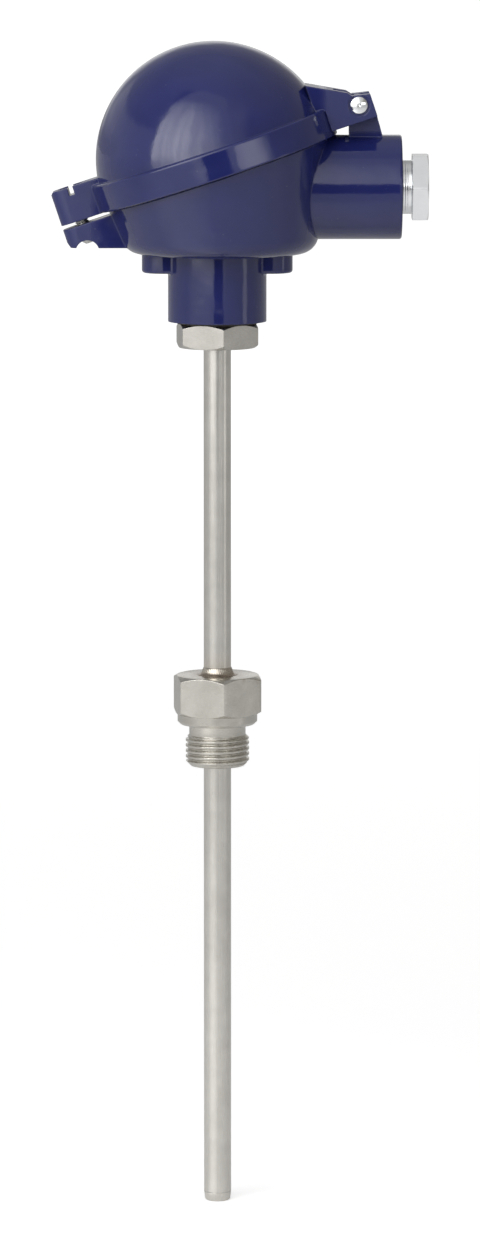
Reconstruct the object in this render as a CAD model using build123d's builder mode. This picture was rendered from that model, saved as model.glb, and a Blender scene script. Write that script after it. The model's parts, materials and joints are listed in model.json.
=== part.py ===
# Resistance thermometer: a screw-in protection tube with a tilted-lid connection head.
#
# Millimetres. +Z points up along the stem to the head, +X towards the cable entry and the lid hinge.
# The origin is the centre of the sealing face of the process connection.
# The head is seen from its front when looking along +Y.

from build123d import *
from math import cos, radians, sin, sqrt, tan
import os

os.makedirs("parts", exist_ok=True)

# Clearances
thread_clearance = 0.05
running_clearance = 0.05
loose_clearance = 0.3

# How far an added feature reaches into the casting, and how closely edges are told apart
root_overlap = 0.8
edge_tolerance = 0.01

# Protection tube and its welded tip
tube_d = 9.0
tube_wall = 1.0
insertion_length = 160.0
tip_taper_h = 3.0
tip_taper_r = 0.35
tip_round = 0.7
tip_spigot_h = 3.0

# Process connection with a pipe thread
process_af = 27.0
process_hex_h = 12.9
collar_d = 26.3
collar_h = 3.3
relief_d = 18.6
relief_h = 3.6
process_thread_d = 20.955
process_thread_h = 10.3
process_thread_chamfer = 1.2
hex_turn = 8.6
hex_chamfer_drop = 1.3

# Neck: where the stem enters the head
neck_length = 108.3
neck_thread_d = 24.0
neck_thread_h = 15.0
neck_hex_h = 7.9
neck_gasket_t = 0.7
neck_hex_step = 0.5
neck_gasket_step = 1.25

# Housing casting
boss_wall = 4.15
boss_h = 22.3
boss_seat_w = 2.0
bowl_floor_t = 3.5
bowl_taper = 1.3
bowl_corner_r = 6.4
bowl_shift = 1.6
cavity_wall_h = 3.1
wall = 3.3
cavity_corner_r = 2.5
bar_overhang = 8.2
bar_w = 14.0
bar_h = 6.4
bar_round = 1.0
root_fillet = 0.8

# Lid plane, through the centre of the dome
lid_tilt = 18.5
dome_x = -1.1
dome_rise = 30.8
rim_flare = 5.7
shoulder_w = -5.0
upstand_wall = 3.0
upstand_gap = 2.0
upstand_w = 1.5

# Lid casting
dome_step = 0.6
dome_wall = 3.0
ring_wall = 3.0
ring_top_w = 4.6
ring_bottom_w = -4.7
ring_top_round = 0.8
ring_bottom_round = 0.4
gasket_t = 1.5
gasket_margin = 0.2

# Closing lugs and screw
closing_reach = 6.4
lug_overhang = 6.7
lug_half_w = 6.2
lug_plan_round = 4.2
lid_lug_top_w = 6.5
lid_lug_bottom_w = -4.9
lug_edge_chamfer = 0.8
lug_gap = 1.5
blade_slot_w = 1.8
blade_slot_depth = 2.7
screw_head_d = 8.2
screw_head_h = 3.4
screw_head_below = 0.4
screw_head_edge = 0.4
screw_shank_d = 4.5
screw_hole_d = 5.0
screw_tip_d = 2.0
screw_tip_h = 1.2
screw_tip_out = 1.3
washer_t = 0.8
lug_swing_clearance = 0.8
counterbore_clearance = 0.2
body_lug_rise = 2.0
body_lug_cut_x = 2.6
body_lug_cut_z = 2.2
arch_d = 7.7
arch_rise = 4.6

# Hinge
hinge_reach = 9.5
hinge_w = 2.2
hinge_half_w = 12.0
hinge_bottom_w = -3.1
hinge_end_out = 4.6
hinge_crest_in = 2.4
hinge_crest_w = 7.2
hinge_step_in = 1.2
hinge_step_w = 5.7
hinge_nose_w = 4.5
hinge_root_in = 2.6
hinge_root_w = 13.7
hinge_pin_d = 4.0
hinge_head_d = 5.5
hinge_head_h = 1.4
hinge_head_round = 0.5
hinge_seat_d = 7.0
hinge_seat_depth = 0.6
hinge_dimple_d = 1.6
hinge_dimple_depth = 0.5
hinge_groove_h = 0.8
hinge_groove_depth = 0.5
hinge_pin_end = 1.2
knuckle_half_w = 4.6
knuckle_r = 3.1
knuckle_slot_in = 6.3
knuckle_foot_out = 7.8
knuckle_shoulder_out = 6.1
knuckle_shoulder_drop = 4.0
clip_d = 7.0

# Cable entry along +X
entry_rise = 21.7
entry_thread_d = 20.0
entry_wall = 7.1
entry_seat_w = 2.5
entry_reach = 6.4
entry_round = 0.8
gland_depth = 24.8
seal_l = 8.0
seal_wall = 5.0
gland_washer_t = 1.5
gland_wall = 4.0
gland_relief_depth = 1.1
gland_relief_inside = 1.0
gland_hex_step = 0.6
gland_neck_l = 3.4
gland_hex_l = 5.3
gland_chamfer_drop = 0.9

# Measuring insert
flange_d = 42.0
flange_edge = 4.5
flange_t = 1.8
flange_hole_d = 4.6
sheath_d = 6.0
sheath_wall = 0.5
sheath_end_t = 0.8
insert_tip_gap = 0.3
base_margin = 1.5
base_h = 10.0
base_notch_d = 9.4
base_hole_d = 7.0
base_edge = 0.6
insert_thread_d = 4.0
insert_screw_depth = 7.0
insert_hole_depth = 7.6
insert_screw_head_d = 7.0
insert_screw_head_h = 2.6
insert_screw_slot_w = 1.0
insert_screw_slot_depth = 1.2
spring_length = 11.0
spring_wire_d = 0.8
spring_d = 6.6
spring_turns = 6
spring_end_flat = 0.1

# Terminals on the ceramic base
terminal_inset = 6.9
terminal_angles = (50.0, 130.0, 230.0, 310.0)
terminal_length = 7.6
terminal_w = 6.6
terminal_t = 1.2
terminal_screw_d = 3.0
terminal_screw_depth = 6.0
terminal_head_d = 5.6
terminal_head_h = 2.2
terminal_slot_w = 0.8
terminal_slot_depth = 1.0

# Inside the sheath
core_gap = 0.05
element_d = 2.8
element_l = 15.0
element_rise = 3.0
lead_d = 0.8
lead_hole_gap = 0.05
lead_circle_r = 1.3
lead_rise = 2.4
lead_bend_r = 1.8

# Ground terminal
ground_gap = 0.2
ground_wall_gap = 0.4
ground_boss_d = 7.0
ground_boss_h = 3.0
ground_thread_d = 4.0
ground_hole_depth = 5.0
ground_head_d = 7.0
ground_head_h = 2.6
ground_slot_w = 1.0
ground_slot_depth = 1.1
ground_washer_d = 7.4
ground_washer_t = 1.0

# Heights along the stem
process_hex_top = collar_h + process_hex_h
thread_end = -relief_h - process_thread_h
neck_hex_bottom = process_hex_top + neck_length
neck_hex_top = neck_hex_bottom + neck_hex_h
boss_bottom = neck_hex_top + neck_gasket_t
bowl_bottom = boss_bottom + boss_h
floor_top = bowl_bottom + bowl_floor_t
neck_thread_top = neck_hex_top + neck_thread_h
tip_spigot_top = -insertion_length + tip_taper_h + tip_spigot_h

# Sizes that follow from the neck thread and the cable entry thread
neck_af = neck_thread_d + 2 * neck_hex_step
neck_gasket_d = neck_thread_d + 2 * neck_gasket_step
boss_d = neck_thread_d + 2 * boss_wall
boss_passage_d = neck_thread_d - 2 * boss_seat_w
entry_d = entry_thread_d + 2 * entry_wall
entry_passage_d = entry_thread_d - 2 * entry_seat_w
seal_hole_d = entry_thread_d - 2 * seal_wall
gland_hole_d = entry_thread_d - 2 * gland_wall
gland_relief_d = entry_thread_d - 2 * gland_relief_depth
gland_hex_af = entry_thread_d + 2 * gland_hex_step

# Sizes that follow from the flange of the measuring insert
insert_pitch = flange_d - 2 * flange_edge
base_d = flange_d - 2 * base_margin
terminal_r = base_d / 2 - terminal_inset
bar_length = insert_pitch + 2 * bar_overhang
ground_y = flange_d / 2 + ground_washer_d / 2 + ground_gap
bowl_r = ground_y + ground_washer_d / 2 + ground_wall_gap + wall
rim_r = bowl_r + rim_flare
dome_r = rim_r + dome_step
ring_r = rim_r + ring_wall
upstand_r = rim_r - upstand_gap
gasket_inner_r = upstand_r - upstand_wall + 2 * gasket_margin
ledge_r = gasket_inner_r - gasket_margin

# Directions and planes of the lid
dome_z = bowl_bottom + dome_rise
tilt = radians(lid_tilt)
lid_out = (cos(tilt), 0, sin(tilt))
lid_up = (-sin(tilt), 0, cos(tilt))
dome_centre = (dome_x, 0, dome_z)
lid_plane = Plane(origin=dome_centre, x_dir=lid_out, z_dir=lid_up)
lid_side = Plane(origin=dome_centre, x_dir=lid_out, z_dir=(0, -1, 0))
lid_axis = Axis(dome_centre, lid_up)


def lid_point(u, w):
    """Gives the x and z of a point that lies u out along the lid and w above its plane."""
    x = dome_x + u * cos(tilt) - w * sin(tilt)
    z = dome_z + u * sin(tilt) + w * cos(tilt)
    return x, z


# Places along the lid
closing_u = -ring_r - closing_reach
hinge_u = ring_r + hinge_reach
arch_top_z = bowl_bottom + arch_rise
lug_end_u = closing_u - lug_overhang
body_lug_top_w = lid_lug_bottom_w - lug_gap
screw_head_top_w = lid_lug_top_w - screw_head_below
screw_head_bottom_w = screw_head_top_w - screw_head_h
counterbore_floor_w = screw_head_bottom_w - washer_t
counterbore_d = screw_head_d + 2 * counterbore_clearance
arch_drop = (dome_z + closing_u * sin(tilt) - arch_top_z) / cos(tilt)
screw_end_w = -arch_drop - screw_tip_out
lug_root_u = -rim_r - (ring_r - rim_r) / 2
block_root_u = -lug_root_u
pin_x, pin_z = lid_point(hinge_u, hinge_w)
hinge_plane = Plane(origin=(pin_x, 0, pin_z), x_dir=(1, 0, 0), z_dir=(0, -1, 0))
hinge_seat_y = hinge_half_w - hinge_seat_depth

# Cable entry, set out from the hinge pin
entry_z = bowl_bottom + entry_rise
knuckle_foot_x = pin_x + knuckle_foot_out
entry_face_x = knuckle_foot_x + entry_reach
gland_seat_x = entry_face_x - gland_depth
gland_hex_x = entry_face_x + gland_neck_l

# Heights in the measuring insert
flange_top = floor_top + flange_t
base_top = flange_top + base_h
spring_top = flange_top + spring_length
sheath_bottom = tip_spigot_top + insert_tip_gap
terminal_top = base_top + terminal_t
lead_reach_r = terminal_r - terminal_length / 2 - lead_d / 2
ground_top = floor_top + ground_boss_h


def hex_chamfer(af, bottom, top):
    """Turned outline that cuts the corners of a hexagon with 30 degree chamfers."""
    flat_r = af / 2
    corner_r = af / sqrt(3)
    with BuildSketch(Plane.XZ) as outline:
        with BuildLine():
            Polyline(
                (0, bottom),
                (flat_r, bottom),
                (corner_r, bottom + hex_chamfer_drop),
                (corner_r, top - hex_chamfer_drop),
                (flat_r, top),
                (0, top),
                close=True,
            )
        make_face()
    return outline.sketch


def lug_plan():
    """Rounded outline shared by both closing lugs, as a tall block square to the lid."""
    root_u = -upstand_r + upstand_wall
    middle_u = (lug_end_u + root_u) / 2
    with BuildPart() as plan:
        with BuildSketch(lid_plane.offset(-dome_r)) as outline:
            with Locations((middle_u, 0)):
                Rectangle(root_u - lug_end_u, 2 * lug_half_w)
            fillet(outline.vertices().group_by(Axis.X)[0], lug_plan_round)
        extrude(amount=2 * dome_r)
    return plan.part


def ring_edges(casting):
    """Outer edges of the lid ring, lowest first."""
    circles = casting.edges().filter_by(GeomType.CIRCLE)
    return circles.filter_by(lambda edge: abs(edge.radius - ring_r) < edge_tolerance).sort_by(lid_axis)


def flat_at(edge, z):
    """Tells whether an edge lies level at a height."""
    box = edge.bounding_box()
    return abs(box.min.Z - z) < edge_tolerance and abs(box.max.Z - z) < edge_tolerance


def finish(part, name):
    """Labels a finished piece and writes it."""
    part.label = name
    export_step(part, "parts/" + name + ".step")


# Protection tube, open at both ends
with BuildPart() as protection_tube:
    with BuildSketch(Plane.XY.offset(-insertion_length + tip_taper_h)):
        Circle(tube_d / 2)
        Circle(tube_d / 2 - tube_wall, mode=Mode.SUBTRACT)
    extrude(amount=neck_thread_top + insertion_length - tip_taper_h)
finish(protection_tube.part, "protection_tube")

# Tip, a plug with a spigot that closes the tube
with BuildPart() as tube_tip:
    with BuildSketch(Plane.XZ):
        with BuildLine():
            tip_r = tube_d / 2 - tip_taper_r
            spigot_r = tube_d / 2 - tube_wall
            tip_shoulder = -insertion_length + tip_taper_h
            Polyline(
                (0, tip_spigot_top),
                (0, -insertion_length),
                (tip_r, -insertion_length),
                (tube_d / 2, tip_shoulder),
                (spigot_r, tip_shoulder),
                (spigot_r, tip_spigot_top),
                close=True,
            )
        make_face()
    revolve(axis=Axis.Z)
    fillet(tube_tip.edges().filter_by(GeomType.CIRCLE).group_by(Axis.Z)[0], tip_round)
finish(tube_tip.part, "tube_tip")

# Process connection: hexagon, sealing collar, relief and pipe thread
with BuildPart() as process_connection:
    with BuildSketch(Plane.XY.offset(collar_h)):
        RegularPolygon(process_af / sqrt(3), 6, rotation=hex_turn - 90)
    extrude(amount=process_hex_h)
    with BuildPart(mode=Mode.PRIVATE) as process_chamfer:
        add(hex_chamfer(process_af, collar_h, process_hex_top))
        revolve(axis=Axis.Z)
    add(process_chamfer.part, mode=Mode.INTERSECT)
    with BuildSketch(Plane.XZ):
        with BuildLine():
            thread_r = process_thread_d / 2
            chamfer_z = thread_end + process_thread_chamfer
            Polyline(
                (0, collar_h),
                (collar_d / 2, collar_h),
                (collar_d / 2, 0),
                (relief_d / 2, 0),
                (relief_d / 2, -relief_h),
                (thread_r, -relief_h),
                (thread_r, chamfer_z),
                (thread_r - process_thread_chamfer, thread_end),
                (0, thread_end),
                close=True,
            )
        make_face()
    revolve(axis=Axis.Z)
    with BuildSketch(Plane.XY.offset(thread_end)):
        Circle(tube_d / 2)
    extrude(amount=process_hex_top - thread_end, mode=Mode.SUBTRACT)
finish(process_connection.part, "process_connection")

# Neck adapter: hexagon under the head, with a male thread into it
with BuildPart() as neck_adapter:
    with BuildSketch(Plane.XY.offset(neck_hex_bottom)):
        RegularPolygon(neck_af / sqrt(3), 6, rotation=hex_turn - 90)
    extrude(amount=neck_hex_h)
    with BuildPart(mode=Mode.PRIVATE) as neck_chamfer:
        add(hex_chamfer(neck_af, neck_hex_bottom, neck_hex_top))
        revolve(axis=Axis.Z)
    add(neck_chamfer.part, mode=Mode.INTERSECT)
    with BuildSketch(Plane.XY.offset(neck_hex_top)):
        Circle(neck_thread_d / 2 - thread_clearance)
    extrude(amount=neck_thread_h)
    with BuildSketch(Plane.XY.offset(neck_hex_bottom)):
        Circle(tube_d / 2)
    extrude(amount=neck_thread_top - neck_hex_bottom, mode=Mode.SUBTRACT)
finish(neck_adapter.part, "neck_adapter")

# Flat gasket between the hexagon and the head
with BuildPart() as neck_gasket:
    with BuildSketch(Plane.XY.offset(neck_hex_top)):
        Circle(neck_gasket_d / 2)
        Circle(neck_thread_d / 2, mode=Mode.SUBTRACT)
    extrude(amount=neck_gasket_t)
finish(neck_gasket.part, "neck_gasket")

# Housing: bowl, neck boss, cable entry boss, closing lug and hinge knuckle in one casting
cavity_rim_r = upstand_r - upstand_wall
entry_plane = Plane(origin=(0, 0, entry_z), x_dir=(0, 1, 0), z_dir=(1, 0, 0))
lug_end_x, lug_end_z = lid_point(lug_end_u, body_lug_top_w)
lug_root_x, lug_root_z = lid_point(-rim_r, body_lug_top_w)
screw_x, screw_z = lid_point(closing_u, body_lug_top_w)
body_lug_bottom_z = bowl_bottom + body_lug_rise
arch_x = screw_x + (screw_z - arch_top_z) * tan(tilt)
with BuildPart() as housing:
    # Outside of the bowl
    with BuildSketch(lid_plane.offset(shoulder_w)):
        Circle(rim_r)
    with BuildSketch(Plane((bowl_shift, 0, bowl_bottom))):
        Circle(bowl_r - bowl_taper)
    loft(ruled=True)
    fillet(housing.edges().filter_by(GeomType.CIRCLE).group_by(Axis.Z)[0], bowl_corner_r)
    # Bar with the two screw bosses, and the neck boss
    with BuildSketch(Plane.XY.offset(bowl_bottom - bar_h)):
        SlotOverall(bar_length, bar_w)
    extrude(amount=bar_h + bowl_floor_t)
    fillet(housing.faces().sort_by(Axis.Z)[0].edges(), bar_round)
    with BuildSketch(Plane.XY.offset(boss_bottom)):
        Circle(boss_d / 2)
    extrude(amount=boss_h + bowl_floor_t)
    bar_roots = housing.edges().filter_by(GeomType.LINE).filter_by(Axis.Z)
    fillet(bar_roots.filter_by(lambda edge: abs(edge.center().X) < boss_d / 2), root_fillet)
    # Closing lug
    with BuildPart(mode=Mode.PRIVATE) as body_lug:
        with BuildSketch(Plane.XZ):
            with BuildLine():
                Polyline(
                    (lug_root_x, lug_root_z),
                    (lug_end_x, lug_end_z),
                    (lug_end_x + body_lug_cut_x / 3, body_lug_bottom_z + body_lug_cut_z),
                    (lug_end_x + body_lug_cut_x, body_lug_bottom_z),
                    (-bowl_r + wall, body_lug_bottom_z),
                    (-bowl_r + wall, lug_root_z),
                    close=True,
                )
            make_face()
        extrude(amount=lug_half_w, both=True)
        add(lug_plan(), mode=Mode.INTERSECT)
    add(body_lug.part)
    fillet(housing.edges().filter_by(lambda edge: flat_at(edge, bowl_bottom)), root_fillet)
    # Cable entry boss
    with BuildSketch(entry_plane):
        Circle(entry_d / 2)
    extrude(amount=entry_face_x)
    fillet(housing.edges().filter_by(GeomType.CIRCLE).group_by(Axis.X)[-1], entry_round)
    # Room for the lid ring above the shoulder
    with BuildSketch(lid_plane.offset(shoulder_w)):
        Circle(ring_r + loose_clearance)
    extrude(amount=2 * dome_r, mode=Mode.SUBTRACT)
    # Upstand inside the ring
    with BuildSketch(lid_plane.offset(shoulder_w)):
        Circle(upstand_r)
    extrude(amount=upstand_w - shoulder_w)
    # Hinge knuckle
    with BuildSketch(Plane.XZ):
        with BuildLine():
            Polyline(
                (pin_x - knuckle_r, entry_z),
                (pin_x - knuckle_r, pin_z),
                (pin_x, pin_z + knuckle_r),
                (pin_x + knuckle_r, pin_z),
                (pin_x + knuckle_shoulder_out, pin_z - knuckle_shoulder_drop),
                (knuckle_foot_x, entry_z + entry_d / 2),
                (knuckle_foot_x, entry_z),
                close=True,
            )
        make_face()
        with Locations((pin_x, pin_z)):
            Circle(knuckle_r)
    extrude(amount=knuckle_half_w, both=True)
    # Inside of the bowl
    with BuildPart(mode=Mode.PRIVATE) as cavity:
        with BuildSketch(lid_plane.offset(shoulder_w)):
            Circle(cavity_rim_r)
        with BuildSketch(Plane((bowl_shift, 0, floor_top + cavity_wall_h))):
            Circle(bowl_r - wall)
        loft(ruled=True)
        with BuildSketch(lid_plane.offset(shoulder_w)):
            Circle(cavity_rim_r)
        extrude(amount=upstand_w - shoulder_w)
        with BuildSketch(Plane((bowl_shift, 0, floor_top))):
            Circle(bowl_r - wall)
        extrude(amount=cavity_wall_h)
        fillet(cavity.edges().filter_by(GeomType.CIRCLE).group_by(Axis.Z)[0], cavity_corner_r)
    add(cavity.part, mode=Mode.SUBTRACT)
    # Neck thread and passage
    with BuildSketch(Plane.XY.offset(boss_bottom)):
        Circle(neck_thread_d / 2)
    extrude(amount=neck_thread_top - boss_bottom, mode=Mode.SUBTRACT)
    with BuildSketch(Plane.XY.offset(neck_thread_top)):
        Circle(boss_passage_d / 2)
    extrude(amount=floor_top - neck_thread_top, mode=Mode.SUBTRACT)
    # Cable entry thread and passage
    with BuildSketch(entry_plane):
        Circle(entry_passage_d / 2)
    extrude(amount=gland_seat_x, mode=Mode.SUBTRACT)
    with BuildSketch(entry_plane.offset(gland_seat_x)):
        Circle(entry_thread_d / 2)
    extrude(amount=entry_face_x - gland_seat_x, mode=Mode.SUBTRACT)
    # Ground boss and the threaded holes in the floor
    with BuildSketch(Plane.XY.offset(floor_top)):
        with Locations((0, ground_y)):
            Circle(ground_boss_d / 2)
    extrude(amount=ground_boss_h)
    with BuildSketch(Plane.XY.offset(floor_top + ground_boss_h)):
        with Locations((0, ground_y)):
            Circle(ground_thread_d / 2)
    extrude(amount=-ground_hole_depth, mode=Mode.SUBTRACT)
    with BuildSketch(Plane.XY.offset(floor_top)):
        with GridLocations(insert_pitch, 0, 2, 1):
            Circle(insert_thread_d / 2)
    extrude(amount=-insert_hole_depth, mode=Mode.SUBTRACT)
    # Closing screw hole, the arch under it and the hinge pin hole
    with BuildSketch(lid_plane):
        with Locations((closing_u, 0)):
            Circle(screw_shank_d / 2 + lug_swing_clearance)
    extrude(amount=-dome_r, mode=Mode.SUBTRACT)
    with BuildSketch(Plane.XZ):
        with Locations((arch_x, arch_top_z - arch_d / 2)):
            Circle(arch_d / 2)
    extrude(amount=dome_r, both=True, mode=Mode.SUBTRACT)
    with BuildSketch(Plane.XZ):
        with Locations((pin_x, pin_z)):
            Circle(hinge_pin_d / 2 + running_clearance)
    extrude(amount=dome_r, both=True, mode=Mode.SUBTRACT)
finish(housing.part, "housing")

# Lid: dome, ring with a skirt, closing lug and two hinge ears in one casting
dome_inner_r = dome_r - dome_wall
gasket_top_w = upstand_w + gasket_t
hinge_root_u = dome_r - hinge_root_in
hinge_end_u = hinge_u + hinge_end_out
knuckle_slot_u = hinge_u - knuckle_slot_in
skirt_r = rim_r
with BuildPart() as lid:
    with BuildSketch(lid_side):
        with BuildLine():
            ring_join_r = sqrt(dome_r**2 - ring_top_w**2)
            ledge_top_w = sqrt(dome_inner_r**2 - ledge_r**2)
            dome_mid = dome_r / sqrt(2)
            inner_mid = dome_inner_r / sqrt(2)
            ThreePointArc((0, dome_r), (dome_mid, dome_mid), (ring_join_r, ring_top_w))
            Polyline(
                (ring_join_r, ring_top_w),
                (ring_r, ring_top_w),
                (ring_r, ring_bottom_w),
                (skirt_r, ring_bottom_w),
                (skirt_r, gasket_top_w),
                (ledge_r, gasket_top_w),
                (ledge_r, ledge_top_w),
            )
            ThreePointArc((ledge_r, ledge_top_w), (inner_mid, inner_mid), (0, dome_inner_r))
            Line((0, dome_inner_r), (0, dome_r))
        make_face()
    revolve(axis=lid_axis)
    fillet(ring_edges(lid)[-1], ring_top_round)
    fillet(ring_edges(lid)[0], ring_bottom_round)
    # Closing lug
    with BuildPart(mode=Mode.PRIVATE) as lid_lug:
        with BuildSketch(lid_side):
            with BuildLine():
                Polyline(
                    (lug_end_u, lid_lug_bottom_w),
                    (lug_end_u, lid_lug_top_w - lug_edge_chamfer),
                    (lug_end_u + lug_edge_chamfer, lid_lug_top_w),
                    (-ledge_r - root_overlap, lid_lug_top_w),
                    (-ledge_r - root_overlap, gasket_top_w + root_overlap),
                    (lug_root_u, gasket_top_w + root_overlap),
                    (lug_root_u, lid_lug_bottom_w),
                    close=True,
                )
            make_face()
        extrude(amount=lug_half_w, both=True)
        add(lug_plan(), mode=Mode.INTERSECT)
    add(lid_lug.part)
    # Hinge block, slotted for the knuckle
    with BuildSketch(lid_side):
        with BuildLine():
            Polyline(
                (hinge_root_u, hinge_root_w),
                (hinge_u - hinge_crest_in, hinge_crest_w),
                (hinge_u - hinge_step_in, hinge_step_w),
                (hinge_end_u, hinge_nose_w),
                (hinge_end_u, hinge_bottom_w),
                (block_root_u, hinge_bottom_w),
                (block_root_u, gasket_top_w + root_overlap),
                (hinge_root_u, gasket_top_w + root_overlap),
                close=True,
            )
        make_face()
    extrude(amount=hinge_half_w, both=True)
    with BuildSketch(lid_side):
        with BuildLine():
            Polyline(
                (knuckle_slot_u, ring_bottom_w),
                (knuckle_slot_u, hinge_root_w),
                (hinge_end_u + ring_r, hinge_root_w),
                (hinge_end_u + ring_r, ring_bottom_w),
                close=True,
            )
        make_face()
    extrude(amount=knuckle_half_w + loose_clearance, both=True, mode=Mode.SUBTRACT)
    with BuildSketch(lid_side):
        with Locations((hinge_u, hinge_w)):
            Circle(hinge_pin_d / 2)
    extrude(amount=ring_r, both=True, mode=Mode.SUBTRACT)
    with BuildSketch(hinge_plane.offset(hinge_seat_y)):
        Circle(hinge_seat_d / 2)
    extrude(amount=ring_r, mode=Mode.SUBTRACT)
    # Closing screw hole, its counterbore and the blade slot across the lug
    with BuildSketch(lid_plane.offset(ring_bottom_w - lug_gap)):
        with Locations((closing_u, 0)):
            Circle(screw_hole_d / 2)
    extrude(amount=ring_r, mode=Mode.SUBTRACT)
    with BuildSketch(lid_plane.offset(counterbore_floor_w)):
        with Locations((closing_u, 0)):
            Circle(counterbore_d / 2)
    extrude(amount=ring_r, mode=Mode.SUBTRACT)
    with BuildSketch(lid_side):
        with Locations((closing_u, lid_lug_top_w)):
            Rectangle(blade_slot_w, 2 * blade_slot_depth)
    extrude(amount=ring_r, both=True, mode=Mode.SUBTRACT)
finish(lid.part, "lid")

# Gasket carried in the lid
with BuildPart() as lid_gasket:
    with BuildSketch(lid_plane.offset(upstand_w)):
        Circle(upstand_r - gasket_margin)
        Circle(gasket_inner_r, mode=Mode.SUBTRACT)
    extrude(amount=gasket_t)
finish(lid_gasket.part, "lid_gasket")

# Washer under the head of the closing screw
closing_plane = lid_plane.offset(counterbore_floor_w)
with BuildPart() as closing_washer:
    with BuildSketch(closing_plane):
        with Locations((closing_u, 0)):
            Circle(screw_head_d / 2)
            Circle(screw_shank_d / 2 + running_clearance, mode=Mode.SUBTRACT)
    extrude(amount=washer_t)
finish(closing_washer.part, "closing_washer")

# Closing screw, slotted, with a coned tip
with BuildPart() as closing_screw:
    with BuildSketch(lid_side):
        with BuildLine():
            Polyline(
                (closing_u, screw_head_top_w),
                (closing_u + screw_head_d / 2 - screw_head_edge, screw_head_top_w),
                (closing_u + screw_head_d / 2, screw_head_top_w - screw_head_edge),
                (closing_u + screw_head_d / 2, screw_head_bottom_w),
                (closing_u + screw_shank_d / 2, screw_head_bottom_w),
                (closing_u + screw_shank_d / 2, screw_end_w + screw_tip_h),
                (closing_u + screw_tip_d / 2, screw_end_w),
                (closing_u, screw_end_w),
                close=True,
            )
        make_face()
    revolve(axis=Axis(lid_plane.from_local_coords((closing_u, 0, 0)), lid_up))
    with BuildSketch(lid_side):
        with Locations((closing_u, lid_lug_top_w)):
            Rectangle(blade_slot_w, 2 * blade_slot_depth)
    extrude(amount=ring_r, both=True, mode=Mode.SUBTRACT)
finish(closing_screw.part, "closing_screw")

# Hinge pin with a head in front and a groove for its clip behind
with BuildPart() as hinge_pin:
    with BuildSketch(hinge_plane):
        Circle(hinge_pin_d / 2)
    extrude(amount=hinge_seat_y)
    with BuildSketch(hinge_plane):
        Circle(hinge_pin_d / 2)
    extrude(amount=-hinge_half_w - hinge_groove_h - hinge_pin_end)
    with BuildSketch(hinge_plane.offset(hinge_seat_y)):
        Circle(hinge_head_d / 2)
    extrude(amount=hinge_head_h)
    fillet(hinge_pin.edges().sort_by(Axis.Y)[0], hinge_head_round)
    with BuildSketch(hinge_plane.offset(hinge_seat_y + hinge_head_h)):
        Circle(hinge_dimple_d / 2)
    extrude(amount=-hinge_dimple_depth, mode=Mode.SUBTRACT)
    with BuildSketch(hinge_plane.offset(-hinge_half_w)):
        Circle(hinge_pin_d / 2)
        Circle(hinge_pin_d / 2 - hinge_groove_depth, mode=Mode.SUBTRACT)
    extrude(amount=-hinge_groove_h, mode=Mode.SUBTRACT)
finish(hinge_pin.part, "hinge_pin")

# Spring clip in the groove of the hinge pin
with BuildPart() as hinge_clip:
    with BuildSketch(hinge_plane.offset(-hinge_half_w)):
        Circle(clip_d / 2)
        Circle(hinge_pin_d / 2 - hinge_groove_depth, mode=Mode.SUBTRACT)
        with Locations((0, clip_d / 2)):
            Rectangle(hinge_pin_d - 2 * hinge_groove_depth, clip_d, mode=Mode.SUBTRACT)
    extrude(amount=-hinge_groove_h)
finish(hinge_clip.part, "hinge_clip")

# Rubber seal, washer and pressure screw of the cable gland
with BuildPart() as gland_seal:
    with BuildSketch(entry_plane.offset(gland_seat_x)):
        Circle(entry_thread_d / 2 - thread_clearance)
        Circle(seal_hole_d / 2, mode=Mode.SUBTRACT)
    extrude(amount=seal_l)
finish(gland_seal.part, "gland_seal")

with BuildPart() as gland_washer:
    with BuildSketch(entry_plane.offset(gland_seat_x + seal_l)):
        Circle(entry_thread_d / 2 - thread_clearance)
        Circle(gland_hole_d / 2, mode=Mode.SUBTRACT)
    extrude(amount=gland_washer_t)
finish(gland_washer.part, "gland_washer")

gland_start_x = gland_seat_x + seal_l + gland_washer_t
gland_end_x = gland_hex_x + gland_hex_l
gland_waist_x = entry_face_x - gland_relief_inside
with BuildPart() as gland_screw:
    with BuildSketch(entry_plane.offset(gland_hex_x)):
        RegularPolygon(gland_hex_af / sqrt(3), 6)
    extrude(amount=gland_hex_l)
    with BuildPart(mode=Mode.PRIVATE) as gland_chamfer:
        with BuildSketch(Plane.XZ):
            with BuildLine():
                flat_r = gland_hex_af / 2
                corner_r = gland_hex_af / sqrt(3)
                Polyline(
                    (gland_hex_x, entry_z),
                    (gland_hex_x, entry_z + flat_r),
                    (gland_hex_x + gland_chamfer_drop, entry_z + corner_r),
                    (gland_end_x - gland_chamfer_drop, entry_z + corner_r),
                    (gland_end_x, entry_z + flat_r),
                    (gland_end_x, entry_z),
                    close=True,
                )
            make_face()
        revolve(axis=Axis((0, 0, entry_z), (1, 0, 0)))
    add(gland_chamfer.part, mode=Mode.INTERSECT)
    with BuildSketch(entry_plane.offset(gland_start_x)):
        Circle(entry_thread_d / 2 - thread_clearance)
    extrude(amount=gland_waist_x - gland_start_x)
    with BuildSketch(entry_plane.offset(gland_waist_x)):
        Circle(gland_relief_d / 2)
    extrude(amount=gland_hex_x - gland_waist_x)
    with BuildSketch(entry_plane.offset(gland_start_x)):
        Circle(gland_hole_d / 2)
    extrude(amount=gland_end_x - gland_start_x, mode=Mode.SUBTRACT)
finish(gland_screw.part, "gland_screw")

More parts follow.
